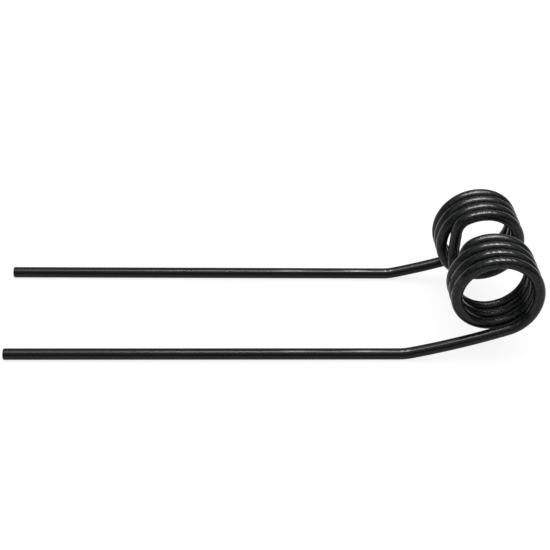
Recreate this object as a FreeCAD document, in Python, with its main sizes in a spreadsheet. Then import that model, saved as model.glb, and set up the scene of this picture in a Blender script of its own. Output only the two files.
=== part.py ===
import FreeCAD, Part
import math
import os

import Sketcher
from FreeCAD import Base, Placement, Rotation, Vector

# A double torsion spring tine for a hay rake: one length of round spring wire.
# Frame: the two coils share the Y axis, the origin lies midway between them, the tines
# run towards -X, and +Z points up. Side -1 is the front half and side +1 the rear half.
# Lengths are in millimetres and angles in degrees. Each length follows the centreline of
# its own stretch, from where one bend ends to where the next begins.
SIZES = {
    "wire_diameter": 9.0,
    "coil_bore": 53.0,
    "turn_spacing": 10.25,
    "coil_whole_turns": 3,
    "lead_in": 3.5,
    "lead_in_angle": 90,
    "lead_out_angle": 30,
    "leg_spacing": 33.0,
    "leg_angle": 119,
    "leg_bend_radius": 14.0,
    "leg_straight": 14.0,
    "rise_angle": 14,
    "rise_bow": 8.0,
    "rise_length": 77.0,
    "tine_bend_radius": 40.0,
    "front_tine_length": 307.0,
    "rear_tine_length": 316.0,
    "tip_rounding": 0.8,
}

# Worked-out sizes, as expressions over the sheet
COIL_RADIUS = "(Sizes.coil_bore + Sizes.wire_diameter) / 2"
# the rise steepens from the rise angle by its bow, and meets the coil at the entry angle
ENTRY_ANGLE = "(Sizes.rise_angle + Sizes.rise_bow)"
RISE_RADIUS = "(Sizes.rise_length / Sizes.rise_bow * 180 / pi)"
# the wire meets the coil's circle square to its spoke, and leaves it at the leg angle
COIL_START = f"({ENTRY_ANGLE} - 90)"
COIL_END = "(360 * Sizes.coil_whole_turns + Sizes.leg_angle)"
# the wire leads in from the tine's plane over the first stretch of its turns, climbs at an
# even rate, and leads out square, which takes half of that stretch's climb away
EVEN_ANGLE = f"({COIL_END} - {COIL_START} - Sizes.lead_in_angle - Sizes.lead_out_angle / 2)"
COIL_WIDTH = f"(Sizes.lead_in + Sizes.turn_spacing / 360 * {EVEN_ANGLE})"
TINE_OFFSET = f"(Sizes.leg_spacing / 2 + {COIL_WIDTH})"
# the rise's centre is above the coil, and the bend's centre lies on the way down from it
RISE_TO_COIL = f"({RISE_RADIUS} - {COIL_RADIUS})"
RISE_TO_BEND = f"({RISE_RADIUS} - Sizes.tine_bend_radius)"
BEND_X = f"({RISE_TO_BEND} * sin(Sizes.rise_angle) - {RISE_TO_COIL} * sin({ENTRY_ANGLE}))"
BEND_CENTRE_Z = f"({RISE_TO_COIL} * cos({ENTRY_ANGLE}) - {RISE_TO_BEND} * cos(Sizes.rise_angle))"
TINE_Z = f"({BEND_CENTRE_Z} - Sizes.tine_bend_radius)"
LEG_CENTRE = f"({COIL_RADIUS} - Sizes.leg_bend_radius)"
LEG_X = f"({LEG_CENTRE} * cos(Sizes.leg_angle) - Sizes.leg_bend_radius)"
LEG_TOP = f"({LEG_CENTRE} * sin(Sizes.leg_angle))"

doc = FreeCAD.newDocument("HayRakeSpringTine")
sheet = doc.addObject("Spreadsheet::Sheet", "Sizes")
for row, (name, size) in enumerate(SIZES.items(), start=1):
    sheet.set(f"A{row}", name)
    sheet.set(f"B{row}", str(size))
    sheet.setAlias(f"B{row}", name)
doc.recompute()


def value(expression):
    """The number that an expression over the sheet gives."""
    return float(sheet.evalExpression(expression))


def upright_point(radius, angle):
    """A point of the upright XZ plane, in a sketch's own x and y."""
    turn = math.radians(angle)
    return Vector(radius * math.cos(turn), radius * math.sin(turn), 0)


def arc_between(centre, radius, first, last):
    """The arc about a centre from one angle to another."""
    circle = Part.Circle(centre, Vector(0, 0, 1), radius)
    return Part.ArcOfCircle(circle, math.radians(first), math.radians(last))


def add_sketch(name, rotation):
    sketch = doc.addObject("Sketcher::SketchObject", name)
    sketch.Placement = Placement(Vector(), rotation)
    return sketch


def constrain(sketch, name, expression, *constraint):
    """Add a named constraint and bind its value to the sheet."""
    index = sketch.addConstraint(Sketcher.Constraint(*constraint))
    sketch.renameConstraint(index, name)
    sketch.setExpression(f"Constraints.{name}", expression)


# The longest stretch of a coil, in degrees of turn, that one face follows
LONGEST_SPAN_ANGLE = 120
# How closely, in millimetres, a round edge lies at a tip
TIP_MATCH = 1e-3
# How far the solid's volume may be from the wire's section times its length, as a share
VOLUME_MATCH = 0.002

UPRIGHT = Rotation(Vector(1, 0, 0), 90)
CROSSWISE = Rotation(Vector(1, 1, 1), 120)
# A sketch's own origin and upright axis, and the places on a piece of its geometry
ORIGIN = (-1, 1)
UPRIGHT_AXIS = -2
START = 1
END = 2
CENTRE = 3


def tine_route(name, side, tine_length):
    """Straight tine, the bend, and the bowed rise that runs on to touch the coil from below."""
    sketch = add_sketch(name, UPRIGHT)
    sketch.setExpression("Placement.Base.y", f"{side} * {TINE_OFFSET}")
    rise_angle = value("Sizes.rise_angle")
    bend_radius = value("Sizes.tine_bend_radius")
    rise_radius = value(RISE_RADIUS)
    steep = value(COIL_START)
    shallow = rise_angle - 90
    bend_centre = Vector(value(BEND_X), value(BEND_CENTRE_Z), 0)
    rise_centre = upright_point(-value(RISE_TO_COIL), steep)
    bend_start = Vector(value(BEND_X), value(TINE_Z), 0)
    tip = bend_start - Vector(value(tine_length), 0, 0)
    touch = upright_point(value(COIL_RADIUS), steep)

    tine = sketch.addGeometry(Part.LineSegment(tip, bend_start), False)
    bend = sketch.addGeometry(arc_between(bend_centre, bend_radius, -90, shallow), False)
    rise = sketch.addGeometry(arc_between(rise_centre, rise_radius, shallow, steep), False)
    spoke = sketch.addGeometry(Part.LineSegment(Vector(), touch), True)

    sketch.addConstraint(Sketcher.Constraint("Horizontal", tine))
    sketch.addConstraint(Sketcher.Constraint("Tangent", tine, END, bend, START))
    sketch.addConstraint(Sketcher.Constraint("Tangent", bend, END, rise, START))
    sketch.addConstraint(Sketcher.Constraint("Coincident", spoke, START, *ORIGIN))
    sketch.addConstraint(Sketcher.Constraint("Coincident", spoke, END, rise, END))
    sketch.addConstraint(Sketcher.Constraint("PointOnObject", rise, CENTRE, spoke))
    constrain(sketch, "coil_radius", COIL_RADIUS, "Distance", spoke, value(COIL_RADIUS))
    constrain(sketch, "bend_radius", "Sizes.tine_bend_radius", "Radius", bend, bend_radius)
    constrain(sketch, "rise_angle", "Sizes.rise_angle * 1 deg", "Angle", bend, math.radians(rise_angle))
    constrain(sketch, "rise_radius", RISE_RADIUS, "Radius", rise, rise_radius)
    constrain(sketch, "rise_bow", "Sizes.rise_bow * 1 deg",
              "Angle", rise, math.radians(value("Sizes.rise_bow")))
    constrain(sketch, "tine_length", tine_length, "Distance", tine, value(tine_length))
    return sketch


def coil_route(name, side):
    """The coil's helix, which leads in from the tine's plane and leaves square to the axis."""
    first = math.radians(value(COIL_START))
    last = math.radians(value(COIL_END))
    lead_in = math.radians(value("Sizes.lead_in_angle"))
    lead_out = math.radians(value("Sizes.lead_out_angle"))
    climb = side * value("Sizes.turn_spacing") / (2 * math.pi)
    outer = side * value(TINE_OFFSET)
    led_in = outer - side * value("Sizes.lead_in")
    inner = side * value("Sizes.leg_spacing") / 2
    leaving = inner + climb * lead_out / 2
    round_coil = Part.Cylinder()
    round_coil.Radius = value(COIL_RADIUS)

    # on the unrolled cylinder each end is a smooth curve, and the coil between is straight
    def unrolled(angle, place):
        return Base.Vector2d(angle, -place)

    def curve(*poles):
        smooth = Part.Geom2d.BSplineCurve2d()
        smooth.buildFromPoles([unrolled(*pole) for pole in poles], False, len(poles) - 1)
        return smooth

    entry = curve((first, outer), (first + lead_in / 3, outer),
                  (first + 2 * lead_in / 3, led_in + climb * lead_in / 3), (first + lead_in, led_in))
    spans = math.ceil((last - first - lead_in - lead_out) / math.radians(LONGEST_SPAN_ANGLE))
    stops = []
    for number in range(spans + 1):
        share = number / spans
        angle = (first + lead_in) * (1 - share) + (last - lead_out) * share
        stops.append(unrolled(angle, led_in * (1 - share) + leaving * share))
    turns = [Part.Geom2d.Line2dSegment(*pair) for pair in zip(stops, stops[1:])]
    leave = curve((last - lead_out, leaving), (last - lead_out / 2, inner), (last, inner))
    route = doc.addObject("Part::Feature", name)
    route.Shape = Part.Wire([part.toShape(round_coil) for part in (entry, *turns, leave)])
    route.Placement = Placement(Vector(), UPRIGHT)
    return route


def leg_bend_route(name, side):
    """The bend that turns the wire out of the coil's circle and straight down."""
    sketch = add_sketch(name, UPRIGHT)
    sketch.setExpression("Placement.Base.y", f"{side} * Sizes.leg_spacing / 2")
    leg_angle = value("Sizes.leg_angle")
    radius = value("Sizes.leg_bend_radius")
    leave = upright_point(value(COIL_RADIUS), leg_angle)
    centre = upright_point(value(LEG_CENTRE), leg_angle)

    arc = sketch.addGeometry(arc_between(centre, radius, leg_angle, 180), False)
    spoke = sketch.addGeometry(Part.LineSegment(Vector(), leave), True)

    sketch.addConstraint(Sketcher.Constraint("Coincident", spoke, START, *ORIGIN))
    sketch.addConstraint(Sketcher.Constraint("Coincident", spoke, END, arc, START))
    sketch.addConstraint(Sketcher.Constraint("PointOnObject", arc, CENTRE, spoke))
    sketch.addConstraint(Sketcher.Constraint("Horizontal", arc, CENTRE, arc, END))
    constrain(sketch, "coil_radius", COIL_RADIUS, "Distance", spoke, value(COIL_RADIUS))
    constrain(sketch, "leg_angle", "Sizes.leg_angle * 1 deg", "Angle", spoke, math.radians(leg_angle))
    constrain(sketch, "bend_radius", "Sizes.leg_bend_radius", "Radius", arc, radius)
    return sketch


def bridge_route(name):
    """The hairpin between the coils: two upright legs joined by a half-round bend."""
    sketch = add_sketch(name, CROSSWISE)
    sketch.setExpression("Placement.Base.x", LEG_X)
    half = value("Sizes.leg_spacing / 2")
    top = value(LEG_TOP)
    bottom = top - value("Sizes.leg_straight")
    centre = Vector(0, bottom, 0)

    front = sketch.addGeometry(Part.LineSegment(Vector(-half, top, 0), Vector(-half, bottom, 0)), False)
    arc = sketch.addGeometry(arc_between(centre, half, 180, 360), False)
    rear = sketch.addGeometry(Part.LineSegment(Vector(half, bottom, 0), Vector(half, top, 0)), False)

    sketch.addConstraint(Sketcher.Constraint("Vertical", front))
    sketch.addConstraint(Sketcher.Constraint("Vertical", rear))
    sketch.addConstraint(Sketcher.Constraint("Tangent", front, END, arc, START))
    sketch.addConstraint(Sketcher.Constraint("Tangent", arc, END, rear, START))
    sketch.addConstraint(Sketcher.Constraint("Horizontal", front, START, rear, END))
    sketch.addConstraint(Sketcher.Constraint("PointOnObject", arc, CENTRE, UPRIGHT_AXIS))
    constrain(sketch, "half_spacing", "Sizes.leg_spacing / 2", "Radius", arc, half)
    constrain(sketch, "leg_straight", "Sizes.leg_straight",
              "Distance", front, value("Sizes.leg_straight"))
    constrain(sketch, "leg_top", LEG_TOP, "DistanceY", *ORIGIN, front, START, top)
    return sketch


def edge_names(shape):
    return [f"Edge{number}" for number in range(1, len(shape.Edges) + 1)]


def tip_edges(shape, places):
    """The numbers of the round edges that lie at the given X places."""
    numbers = []
    for number, edge in enumerate(shape.Edges, start=1):
        box = edge.BoundBox
        if box.XLength < TIP_MATCH and any(abs(box.XMin - place) < TIP_MATCH for place in places):
            numbers.append(number)
    return numbers


# The centreline, from the front tip to the rear tip
pieces = [
    tine_route("front_tine_route", -1, "Sizes.front_tine_length"),
    coil_route("front_coil_route", -1),
    leg_bend_route("front_leg_route", -1),
    bridge_route("bridge_route"),
    leg_bend_route("rear_leg_route", 1),
    coil_route("rear_coil_route", 1),
    tine_route("rear_tine_route", 1, "Sizes.rear_tine_length"),
]
doc.recompute()
centreline = doc.addObject("Part::Compound", "centreline")
centreline.Links = pieces

# The wire's round section stands on the front tip, square to the tine
section = doc.addObject("Part::Circle", "wire_section")
section.setExpression("Radius", "Sizes.wire_diameter / 2")
section.Placement = Placement(Vector(), Rotation(Vector(0, 1, 0), 90))
section.setExpression("Placement.Base.x", f"{BEND_X} - Sizes.front_tine_length")
section.setExpression("Placement.Base.y", f"-{TINE_OFFSET}")
section.setExpression("Placement.Base.z", TINE_Z)
doc.recompute()

wire = doc.addObject("Part::Sweep", "bent_wire")
wire.Sections = [section]
wire.Spine = (centreline, edge_names(centreline.Shape))
wire.Solid = True
wire.Frenet = False
doc.recompute()

# The sawn tips are eased by a small rounding
bend_x = value(BEND_X)
tips = [bend_x - value("Sizes.front_tine_length"), bend_x - value("Sizes.rear_tine_length")]
rounding = value("Sizes.tip_rounding")
tine = doc.addObject("Part::Fillet", "spring_tine")
tine.Base = wire
tine.Edges = [(number, rounding, rounding) for number in tip_edges(wire.Shape, tips)]
tine.Label = "spring_tine"
doc.recompute()

for item in doc.Objects:
    if "Invalid" in item.State or "Error" in item.State:
        raise RuntimeError(f"{item.Label} did not compute")
for item in pieces:
    if hasattr(item, "solve") and item.solve() != 0:
        raise RuntimeError(f"{item.Label} does not solve")
shape = tine.Shape
if shape.isNull() or not shape.isValid() or len(shape.Solids) != 1:
    raise RuntimeError("spring_tine is not one valid solid")
wire_length = sum(edge.Length for edge in centreline.Shape.Edges)
drawn_volume = math.pi * value("Sizes.wire_diameter") ** 2 / 4 * wire_length
if abs(shape.Volume / drawn_volume - 1) > VOLUME_MATCH:
    raise RuntimeError("spring_tine does not hold the volume of its wire")

os.makedirs("parts", exist_ok=True)
shape.exportStep(f"parts/{tine.Label}.step")
box = shape.optimalBoundingBox(True, False)
print(f"wire length {wire_length:.1f} mm, volume {shape.Volume:.0f} mm3, faces {len(shape.Faces)}")
print(f"box X {box.XMin:.2f} to {box.XMax:.2f}, Y {box.YMin:.2f} to {box.YMax:.2f}, "
      f"Z {box.ZMin:.2f} to {box.ZMax:.2f}")
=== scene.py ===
import math

import bpy
from mathutils import Matrix, Vector


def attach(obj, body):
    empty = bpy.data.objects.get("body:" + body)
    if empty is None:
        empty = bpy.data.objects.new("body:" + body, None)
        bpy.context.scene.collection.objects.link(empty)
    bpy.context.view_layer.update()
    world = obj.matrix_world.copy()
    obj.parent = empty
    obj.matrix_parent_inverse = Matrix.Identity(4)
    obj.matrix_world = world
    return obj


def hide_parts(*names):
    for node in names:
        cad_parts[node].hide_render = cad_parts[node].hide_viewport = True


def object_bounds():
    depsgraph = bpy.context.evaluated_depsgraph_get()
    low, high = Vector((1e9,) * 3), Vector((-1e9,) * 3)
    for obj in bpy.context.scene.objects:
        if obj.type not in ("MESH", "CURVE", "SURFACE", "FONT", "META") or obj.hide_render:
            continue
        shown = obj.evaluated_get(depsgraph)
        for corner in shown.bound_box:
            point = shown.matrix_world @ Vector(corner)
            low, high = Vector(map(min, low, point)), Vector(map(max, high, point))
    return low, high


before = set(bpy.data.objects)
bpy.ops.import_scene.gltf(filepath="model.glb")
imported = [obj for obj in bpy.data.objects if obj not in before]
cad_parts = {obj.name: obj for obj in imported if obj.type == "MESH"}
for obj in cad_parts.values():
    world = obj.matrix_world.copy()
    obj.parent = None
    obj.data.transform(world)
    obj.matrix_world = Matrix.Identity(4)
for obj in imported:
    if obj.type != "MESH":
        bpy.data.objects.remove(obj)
cad_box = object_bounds()

# Everything below is in metres, in the CAD frame: the coils share the Y axis, the origin
# lies midway between them, the tines run towards -X and +Z points up.

# The wire, with the same sizes as the CAD source
WIRE_RADIUS = 0.0045
COIL_RADIUS = 0.031
TURN_SPACING = 0.01025
RISE_ANGLE = math.radians(14)
RISE_BOW = math.radians(8)
COIL_START = RISE_ANGLE + RISE_BOW - math.radians(90)
COIL_END = math.radians(360 * 3 + 119)
LEAD_IN = 0.0035
LEAD_IN_ANGLE = math.radians(90)
LEAD_OUT_ANGLE = math.radians(30)
LEG_OFFSET = 0.0165
LEG_ANGLE = math.radians(119)
LEG_BEND_RADIUS = 0.014
LEG_STRAIGHT = 0.014
RISE_LENGTH = 0.077
TINE_BEND_RADIUS = 0.04
FRONT_TINE_LENGTH = 0.307
REAR_TINE_LENGTH = 0.316
TIP_ROUNDING = 0.0008

# How finely the wire is drawn
SEGMENTS = 64
STRAIGHT_STEP = 0.006
BEND_STEP = 0.003
TURN_STEP = math.radians(4)
SMALL_TURN_STEP = math.radians(3)
TIP_STEPS = 6
FACE_RINGS = 4
# The drawn skin lies this far inside the CAD solid's
SKIN = 0.000001
# The distances from the coils' axis over which the coiled wire's rougher sheen and painted
# light (its lighter grey, standing in for the light the coils catch) fade into the tines'
COILED_FADE = (0.034, 0.048)
# The stretches of Y over which each coil's finish turns more matt, from its front to its rear
MATT_FRONT = (-0.036, -0.018)
MATT_REAR = (0.006, 0.036)


def shares(count):
    """The shares 0 to 1 of a stretch at count equal steps."""
    return [number / count for number in range(count + 1)]


def line(start, end):
    """Stations along a straight stretch: place and direction."""
    run = end - start
    count = max(1, round(run.length / STRAIGHT_STEP))
    return [(start + run * share, run.normalized()) for share in shares(count)]


def arc(centre, across, ahead, radius, turn):
    """Stations along a bend that starts at centre + across * radius and heads ahead."""
    stations = []
    count = math.ceil(max(turn / SMALL_TURN_STEP, turn * radius / BEND_STEP))
    for share in shares(count):
        angle = turn * share
        out = across * math.cos(angle) + ahead * math.sin(angle)
        way = ahead * math.cos(angle) - across * math.sin(angle)
        stations.append((centre + out * radius, way))
    return stations


def half_route(side, tine_length):
    """Stations from a tine's tip, through the bend, the rise and the coil, to the hairpin."""
    climb = TURN_SPACING / math.tau
    span = COIL_END - COIL_START
    width = LEAD_IN + climb * (span - LEAD_IN_ANGLE - LEAD_OUT_ANGLE / 2)
    outer = LEG_OFFSET + width

    ahead = Vector((1, 0, 0))
    up = Vector((0, 0, 1))
    below = ahead * math.sin(RISE_ANGLE) - up * math.cos(RISE_ANGLE)
    along_rise = ahead * math.cos(RISE_ANGLE) + up * math.sin(RISE_ANGLE)
    to_touch = ahead * math.cos(COIL_START) + up * math.sin(COIL_START)
    rise_radius = RISE_LENGTH / RISE_BOW
    axis = Vector((0, side * outer, 0))
    rise_centre = axis - to_touch * (rise_radius - COIL_RADIUS)
    bend_centre = rise_centre + below * (rise_radius - TINE_BEND_RADIUS)
    bend_start = bend_centre - up * TINE_BEND_RADIUS
    stations = line(bend_start - ahead * tine_length, bend_start)
    stations += arc(bend_centre, -up, ahead, TINE_BEND_RADIUS, RISE_ANGLE)[1:]
    stations += arc(rise_centre, below, along_rise, rise_radius, RISE_BOW)[1:]

    # the wire leads in from the tine's plane, climbs evenly, and leads out to no climb at all
    gain = LEAD_IN - climb * LEAD_IN_ANGLE / 3
    for share in shares(math.ceil(span / TURN_STEP))[1:]:
        turned = span * share
        left = span - turned
        if turned < LEAD_IN_ANGLE:
            part = turned / LEAD_IN_ANGLE
            moved = 3 * (1 - part) * part ** 2 * gain + part ** 3 * LEAD_IN
            slope = (3 * part * (2 - 3 * part) * gain + 3 * part ** 2 * LEAD_IN) / LEAD_IN_ANGLE
        elif left < LEAD_OUT_ANGLE:
            moved = width - climb * left ** 2 / (2 * LEAD_OUT_ANGLE)
            slope = climb * left / LEAD_OUT_ANGLE
        else:
            moved = LEAD_IN + climb * (turned - LEAD_IN_ANGLE)
            slope = climb
        angle = COIL_START + turned
        place = Vector((math.cos(angle) * COIL_RADIUS, side * (outer - moved),
                        math.sin(angle) * COIL_RADIUS))
        way = Vector((-math.sin(angle) * COIL_RADIUS, -side * slope,
                      math.cos(angle) * COIL_RADIUS))
        stations.append((place, way.normalized()))

    out = Vector((math.cos(LEG_ANGLE), 0, math.sin(LEG_ANGLE)))
    way = Vector((-math.sin(LEG_ANGLE), 0, math.cos(LEG_ANGLE)))
    centre = out * (COIL_RADIUS - LEG_BEND_RADIUS) + Vector((0, side * LEG_OFFSET, 0))
    stations += arc(centre, out, way, LEG_BEND_RADIUS, math.pi - LEG_ANGLE)[1:]
    top = stations[-1][0]
    stations += line(top, top - up * LEG_STRAIGHT)[1:]
    return stations


def wire_route():
    """Stations along the whole wire, from the front tip to the rear tip."""
    front = half_route(-1, FRONT_TINE_LENGTH)
    rear = half_route(1, REAR_TINE_LENGTH)
    foot = front[-1][0]
    middle = Vector((foot.x, 0, foot.z))
    hairpin = arc(middle, Vector((0, -1, 0)), Vector((0, 0, -1)), LEG_OFFSET, math.pi)
    back = [(place, -way) for place, way in reversed(rear)]
    return front + hairpin[1:-1] + back


def wire_rings():
    """Each ring: centre, two directions across the wire, radius, place along, and cut share.

    The tips are eased by a small round, and their sheared faces are closed by smaller rings.
    """
    radius = WIRE_RADIUS - SKIN
    stations = wire_route()
    rings = []
    across = Vector((0, 1, 0))
    along = 0.0
    before = stations[0][0]
    for place, way in stations:
        across = (across - way * across.dot(way)).normalized()
        along += (place - before).length
        before = place
        rings.append((place, across.copy(), way.cross(across), radius, along, 0.0))

    def tip(ring, way):
        """Rings from the wire's full size to the middle of a sheared face."""
        place, one, other, _, distance, _ = ring
        ends = []
        for share in shares(TIP_STEPS):
            angle = share * math.pi / 2
            back = TIP_ROUNDING * (1 - math.sin(angle))
            size = radius - TIP_ROUNDING * (1 - math.cos(angle))
            ends.append((place - way * (back + SKIN), one, other, size, distance, share ** 2))
        flat = ends[-1][3]
        for number in range(1, FACE_RINGS):
            size = flat * (1 - number / FACE_RINGS)
            ends.append((ends[-1][0], one, other, size, distance, 1.0))
        return ends

    first, last = rings[0], rings[-1]
    start = tip(first, -stations[0][1])
    end = tip(last, stations[-1][1])
    return list(reversed(start)) + rings[1:-1] + end


def faded(place, stretch):
    """How far along a stretch a place is, from 0 before it to 1 beyond it."""
    start, end = stretch
    return min(1.0, max(0.0, (place - start) / (end - start)))


def make_wire():
    """The bent wire as one closed mesh, with the coordinates that its finish is drawn in."""
    rings = wire_rings()
    turn = [(math.cos(math.tau * step / SEGMENTS), math.sin(math.tau * step / SEGMENTS))
            for step in range(SEGMENTS)]
    places = []
    unbent = []
    cut = []
    coiled = []
    matt = []
    for centre, one, other, size, along, share in rings:
        on_coil = 1 - faded(math.hypot(centre.x, centre.z), COILED_FADE)
        rough = on_coil * faded(centre.y, MATT_FRONT if centre.y < 0 else MATT_REAR)
        for near, far in turn:
            places.append(centre + one * (size * near) + other * (size * far))
            unbent.append((along, size * near, size * far))
            cut.append(share)
            coiled.append(on_coil)
            matt.append(rough)
    faces = []
    for number in range(len(rings) - 1):
        low = number * SEGMENTS
        high = low + SEGMENTS
        for step in range(SEGMENTS):
            following = (step + 1) % SEGMENTS
            faces.append((low + step, low + following, high + following, high + step))
    for ring, order in ((0, -1), (len(rings) - 1, 1)):
        hub = len(places)
        centre, _, _, _, along, _ = rings[ring]
        places.append(centre)
        unbent.append((along, 0.0, 0.0))
        cut.append(1.0)
        coiled.append(0.0)
        matt.append(0.0)
        first = ring * SEGMENTS
        for step in range(SEGMENTS):
            pair = (first + step, first + (step + 1) % SEGMENTS)
            faces.append((hub, *pair[::order]))

    mesh = bpy.data.meshes.new("bent_wire")
    mesh.from_pydata([tuple(place) for place in places], [], faces)
    mesh.update()
    mesh.shade_smooth()
    skin = mesh.attributes.new("unbent", "FLOAT_VECTOR", "POINT")
    skin.data.foreach_set("vector", [number for row in unbent for number in row])
    for name, numbers in (("cut", cut), ("coiled", coiled), ("matt", matt)):
        mesh.attributes.new(name, "FLOAT", "POINT").data.foreach_set("value", numbers)
    wire = bpy.data.objects.new("bent_wire", mesh)
    bpy.context.scene.collection.objects.link(wire)
    return wire


# The span that noise mostly stays within
NOISE_SPAN = (0.3, 0.7)


class Nodes:
    """Adds nodes to a material or a world, with their inputs set or linked."""

    def __init__(self, owner):
        owner.use_nodes = True
        self.tree = owner.node_tree
        self.tree.nodes.clear()

    def add(self, kind, inputs=None, **settings):
        node = self.tree.nodes.new(f"ShaderNode{kind}")
        for name, setting in settings.items():
            setattr(node, name, setting)
        for name, given in (inputs or {}).items():
            if isinstance(given, bpy.types.NodeSocket):
                self.tree.links.new(given, node.inputs[name])
            else:
                node.inputs[name].default_value = given
        return node

    def ramp(self, factor, *stops):
        """A colour ramp of grey or coloured stops, given as (position, colour)."""
        node = self.add("ValToRGB", {"Fac": factor})
        ramp = node.color_ramp
        while len(ramp.elements) < len(stops):
            ramp.elements.new(0.5)
        for element, (position, colour) in zip(ramp.elements, stops):
            element.position = position
            element.color = (*colour, 1)
        return node.outputs["Color"]

    def noise(self, place, scale, detail=2.0, roughness=0.5, stretch=1.0):
        """Noise whose cells are 1 / scale metres across the wire and stretch times as long."""
        mapped = self.add("Mapping", {"Vector": place, "Scale": (1 / stretch, 1, 1)})
        node = self.add("TexNoise", {"Vector": mapped.outputs["Vector"], "Scale": scale,
                                     "Detail": detail, "Roughness": roughness})
        return node.outputs["Fac"]

    def range(self, given, low, high, span=NOISE_SPAN):
        """Runs from low to high while the given number crosses the span."""
        start, end = span
        node = self.add("MapRange", {"Value": given, "From Min": start, "From Max": end,
                                     "To Min": low, "To Max": high})
        return node.outputs["Result"]

    def mix(self, share, first, second):
        """The first colour where the share is 0, the second where it is 1."""
        node = self.add("Mix", {"Factor": share, "A": first, "B": second}, data_type="RGBA")
        return node.outputs["Result"]

    def add_share(self, share, amount, given):
        """The given number plus a share of an amount."""
        node = self.add("Math", {0: share, 1: amount, 2: given}, operation="MULTIPLY_ADD")
        return node.outputs["Value"]

    def bump(self, height, depth, strength, under=None):
        """Relief of the given depth, on top of the relief under it."""
        inputs = {"Height": height, "Strength": strength, "Distance": depth}
        if under is not None:
            inputs["Normal"] = under
        return self.add("Bump", inputs).outputs["Normal"]


# The noises of the finish, drawn over the unbent wire
CLOUD = {"scale": 90, "detail": 3, "stretch": 3}
SPECKLE = {"scale": 520, "detail": 4, "roughness": 0.6}
STREAK = {"scale": 700, "detail": 3, "stretch": 12}
GRAIN = {"scale": 2600, "detail": 2}
WAVE = {"scale": 170, "detail": 1, "stretch": 2.2}
# The colours that each noise runs between, given as (noise, colour)
STRAIGHT_BLACKS = ((0.35, (0.0012, 0.0015, 0.0014)), (0.65, (0.0028, 0.0033, 0.0031)))
# The coils' greys are partly a random speckle and partly painted light: their lighter level
# stands in for the light and reflection the coils catch and the tines don't.
COILED_SPECKLE_AND_PAINTED_LIGHT = ((0.44, (0.0012, 0.0017, 0.0015)), (0.7, (0.019, 0.0225, 0.0205)))
SHEARED_COLOUR = (0.006, 0.006, 0.0062, 1)
# The sheen's roughness along the streaks, and what the coils and their matt side add to it
SMOOTHEST, ROUGHEST = 0.125, 0.155
COILED_ROUGHER = 0.03
MATT_ROUGHER = 0.1
SPECULAR_LEVEL = 0.22
# How deep the relief of each noise is, and how strongly it shows
WAVE_DEPTH, WAVE_STRENGTH = 0.00005, 1.0
STREAK_DEPTH, STREAK_STRENGTH = 0.000004, 0.5
GRAIN_DEPTH, GRAIN_STRENGTH = 0.0000025, 0.5


def coating():
    """Satin black coating over drawn wire: even on the tines; speckled on the coils, and
    painted lighter grey there as painted light for the light the coils catch.
    """
    material = bpy.data.materials.new("coated_spring_steel")
    nodes = Nodes(material)
    place = nodes.add("Attribute", attribute_name="unbent").outputs["Vector"]
    cut, coiled, matt = (nodes.add("Attribute", attribute_name=name).outputs["Fac"]
                         for name in ("cut", "coiled", "matt"))

    black = nodes.ramp(nodes.noise(place, **CLOUD), *STRAIGHT_BLACKS)
    # Painted light: the coils' speckled greys are lighter than the tines' blacks to stand in
    # for the light that falls on the coils.
    coiled_speckle_and_painted_light = nodes.ramp(nodes.noise(place, **SPECKLE), *COILED_SPECKLE_AND_PAINTED_LIGHT)
    coat_and_painted_light = nodes.mix(coiled, black, coiled_speckle_and_painted_light)
    colour = nodes.mix(cut, coat_and_painted_light, SHEARED_COLOUR)

    streaks = nodes.noise(place, **STREAK)
    sheen = nodes.add_share(coiled, COILED_ROUGHER, nodes.range(streaks, SMOOTHEST, ROUGHEST))
    sheen = nodes.add_share(matt, MATT_ROUGHER, sheen)

    relief = nodes.bump(nodes.noise(place, **WAVE), WAVE_DEPTH, WAVE_STRENGTH)
    relief = nodes.bump(streaks, STREAK_DEPTH, STREAK_STRENGTH, relief)
    relief = nodes.bump(nodes.noise(place, **GRAIN), GRAIN_DEPTH, GRAIN_STRENGTH, relief)
    shader = nodes.add("BsdfPrincipled", {
        "Base Color": colour,
        "Roughness": sheen,
        "Specular IOR Level": SPECULAR_LEVEL,
        "Normal": relief,
    })
    nodes.add("OutputMaterial", {"Surface": shader.outputs["BSDF"]})
    return material


wire = make_wire()
wire.data.materials.append(coating())
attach(wire, "root")
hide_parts("spring_tine")

# The part rests on its two tines, on a wide floor whose rim is turned up at the horizon
FLOOR_SIZE = 30.0
RIM_HEIGHT = 1.0
FLOOR_COLOUR = (0.8, 0.8, 0.8, 1)
# For a ray that shows the floor, part of its light is its own, so that it reads as white and
# its shadows stay faint. The coating shows the same white floor, but darker close to the wire.
SHOWN_FLOOR_COLOUR = (0.28, 0.28, 0.28, 1)
SHOWN_FLOOR_GLOW = 0.82
MIRRORED_FLOOR_COLOUR = (0.9, 0.9, 0.9, 1)
MIRRORED_FLOOR_GLOW = 0.2
# How bright the pale room is low down and overhead, and where it turns from one into the
# other, given as the sine of the height above the horizon
SKY_LEVEL = 0.28
DOME_LEVEL = 1.0
DOME_EDGE = (0.45, 0.7)
WHITE = (1, 1, 1, 1)


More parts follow.
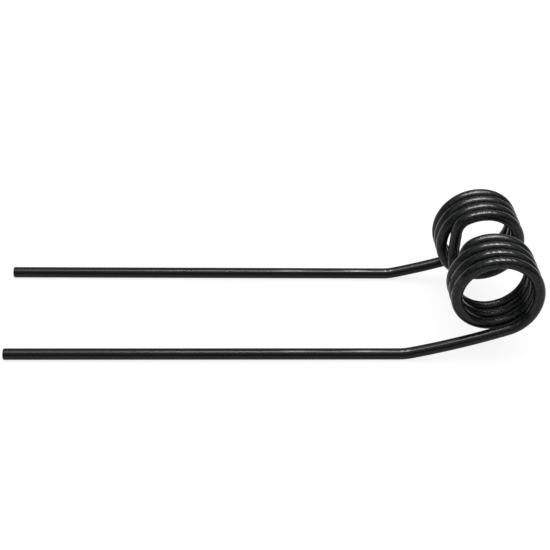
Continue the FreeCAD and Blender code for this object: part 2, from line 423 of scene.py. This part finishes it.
def make_floor():
    low = cad_box[0][2]
    half = FLOOR_SIZE / 2
    corners = [(-half, -half), (half, -half), (half, half), (-half, half)]
    places = [(x, y, height) for height in (low, low + RIM_HEIGHT) for x, y in corners]
    rim = [(step, (step + 1) % 4, (step + 1) % 4 + 4, step + 4) for step in range(4)]
    mesh = bpy.data.meshes.new("studio_floor")
    mesh.from_pydata(places, [], [(0, 1, 2, 3)] + [face[::-1] for face in rim])
    floor = bpy.data.objects.new("studio_floor", mesh)
    bpy.context.scene.collection.objects.link(floor)
    material = bpy.data.materials.new("pale_floor")
    nodes = Nodes(material)
    path = nodes.add("LightPath").outputs
    seen = nodes.add("Math", {0: path["Is Camera Ray"], 1: path["Is Transmission Ray"]},
                     operation="MAXIMUM").outputs["Value"]
    mirrored = path["Is Glossy Ray"]
    plain = nodes.mix(seen, FLOOR_COLOUR, SHOWN_FLOOR_COLOUR)
    colour = nodes.mix(mirrored, plain, MIRRORED_FLOOR_COLOUR)
    matt = nodes.add("BsdfDiffuse", {"Color": colour})
    glow = nodes.add_share(seen, SHOWN_FLOOR_GLOW, 0)
    glow = nodes.add_share(mirrored, MIRRORED_FLOOR_GLOW, glow)
    shown = nodes.add("Emission", {"Color": WHITE, "Strength": glow})
    both = nodes.add("AddShader", {0: matt.outputs["BSDF"], 1: shown.outputs["Emission"]})
    nodes.add("OutputMaterial", {"Surface": both.outputs["Shader"]})
    mesh.materials.append(material)


def make_world():
    world = bpy.data.worlds.new("pale_room")
    nodes = Nodes(world)
    way = nodes.add("TexCoord").outputs["Generated"]
    height = nodes.add("SeparateXYZ", {"Vector": way}).outputs["Z"]
    level = nodes.range(height, SKY_LEVEL, DOME_LEVEL, DOME_EDGE)
    sky = nodes.add("Background", {"Color": WHITE, "Strength": level})
    nodes.add("OutputWorld", {"Surface": sky.outputs["Background"]})
    bpy.context.scene.world = world


# Five narrow tubes low over the coils, which the coating shows as a row of highlights on each
# turn, and two strips far above, end to end, that draw the line along the tines. They light
# nothing else: a soft box and the pale room give the even light.
TUBE_HEIGHT = 0.4
TUBE_TILTS = (-17, -5, 6, 17.5, 28.5)
TUBE_POWERS = (0.118, 0.088, 0.155, 0.078, 0.064)
TUBE_MIDDLE = 0.06
TUBE_WIDTH = 0.018
TUBE_LENGTH = 0.26
TUBE_SPREAD = math.radians(60)
STRIP_HEIGHT = 3.0
STRIP_Y = -0.38
STRIP_LENGTH = 0.3
# Each strip's own stretch of X, and how bright it is
STRIPS = ((-1.5, -0.5, 17), (-0.5, 0.9, 40))
BOX_HEIGHT = 1.8
BOX_SIDE = 2.0
BOX_POWER = 8


def add_light(name, place, power, width, length):
    light = bpy.data.lights.new(name, "AREA")
    light.shape = "RECTANGLE"
    light.size = width
    light.size_y = length
    light.energy = power
    lamp = bpy.data.objects.new(name, light)
    lamp.location = place
    bpy.context.scene.collection.objects.link(lamp)
    return lamp


def make_lights():
    add_light("soft_box", (0, 0, BOX_HEIGHT), BOX_POWER, BOX_SIDE, BOX_SIDE)
    for number, (tilt, power) in enumerate(zip(TUBE_TILTS, TUBE_POWERS), start=1):
        tilt = math.radians(tilt)
        place = (TUBE_HEIGHT * math.tan(tilt), TUBE_MIDDLE, TUBE_HEIGHT)
        tube = add_light(f"tube_{number}", place, power, TUBE_WIDTH, TUBE_LENGTH)
        tube.rotation_euler = (0, tilt, 0)
        tube.data.spread = TUBE_SPREAD
        tube.visible_diffuse = False
    for number, (first, last, level) in enumerate(STRIPS, start=1):
        width = last - first
        place = ((first + last) / 2, STRIP_Y, STRIP_HEIGHT)
        power = level * math.pi * width * STRIP_LENGTH
        strip = add_light(f"strip_{number}", place, power, width, STRIP_LENGTH)
        strip.visible_diffuse = False


# The photograph's viewpoint, found by fitting the wire's outline
VIEW_AZIMUTH = math.radians(3.542)
VIEW_ELEVATION = math.radians(36.527)
VIEW_ROLL = math.radians(2.294)
VIEW_DISTANCE = 0.820891
VIEW_TARGET = Vector((-0.167807, 0, -0.016402))
FOCAL_LENGTH_PX = 1025.754
PICTURE_PX = 550
SENSOR_WIDTH = 36
VIEW_REACH = 50


def make_camera():
    forward = Vector((math.sin(VIEW_AZIMUTH) * math.cos(VIEW_ELEVATION),
                      math.cos(VIEW_AZIMUTH) * math.cos(VIEW_ELEVATION),
                      -math.sin(VIEW_ELEVATION)))
    level = Vector((math.cos(VIEW_AZIMUTH), -math.sin(VIEW_AZIMUTH), 0))
    upward = level.cross(forward)
    right = level * math.cos(VIEW_ROLL) + upward * math.sin(VIEW_ROLL)
    up = upward * math.cos(VIEW_ROLL) - level * math.sin(VIEW_ROLL)
    data = bpy.data.cameras.new("photo_view")
    data.sensor_width = SENSOR_WIDTH
    data.lens = FOCAL_LENGTH_PX * SENSOR_WIDTH / PICTURE_PX
    data.clip_end = VIEW_REACH
    camera = bpy.data.objects.new("photo_view", data)
    turn = Matrix((right, up, -forward)).transposed().to_4x4()
    camera.matrix_world = Matrix.Translation(VIEW_TARGET - forward * VIEW_DISTANCE) @ turn
    bpy.context.scene.collection.objects.link(camera)
    bpy.context.scene.camera = camera


make_floor()
make_world()
make_lights()
make_camera()
bpy.context.scene.view_settings.view_transform = "Standard"
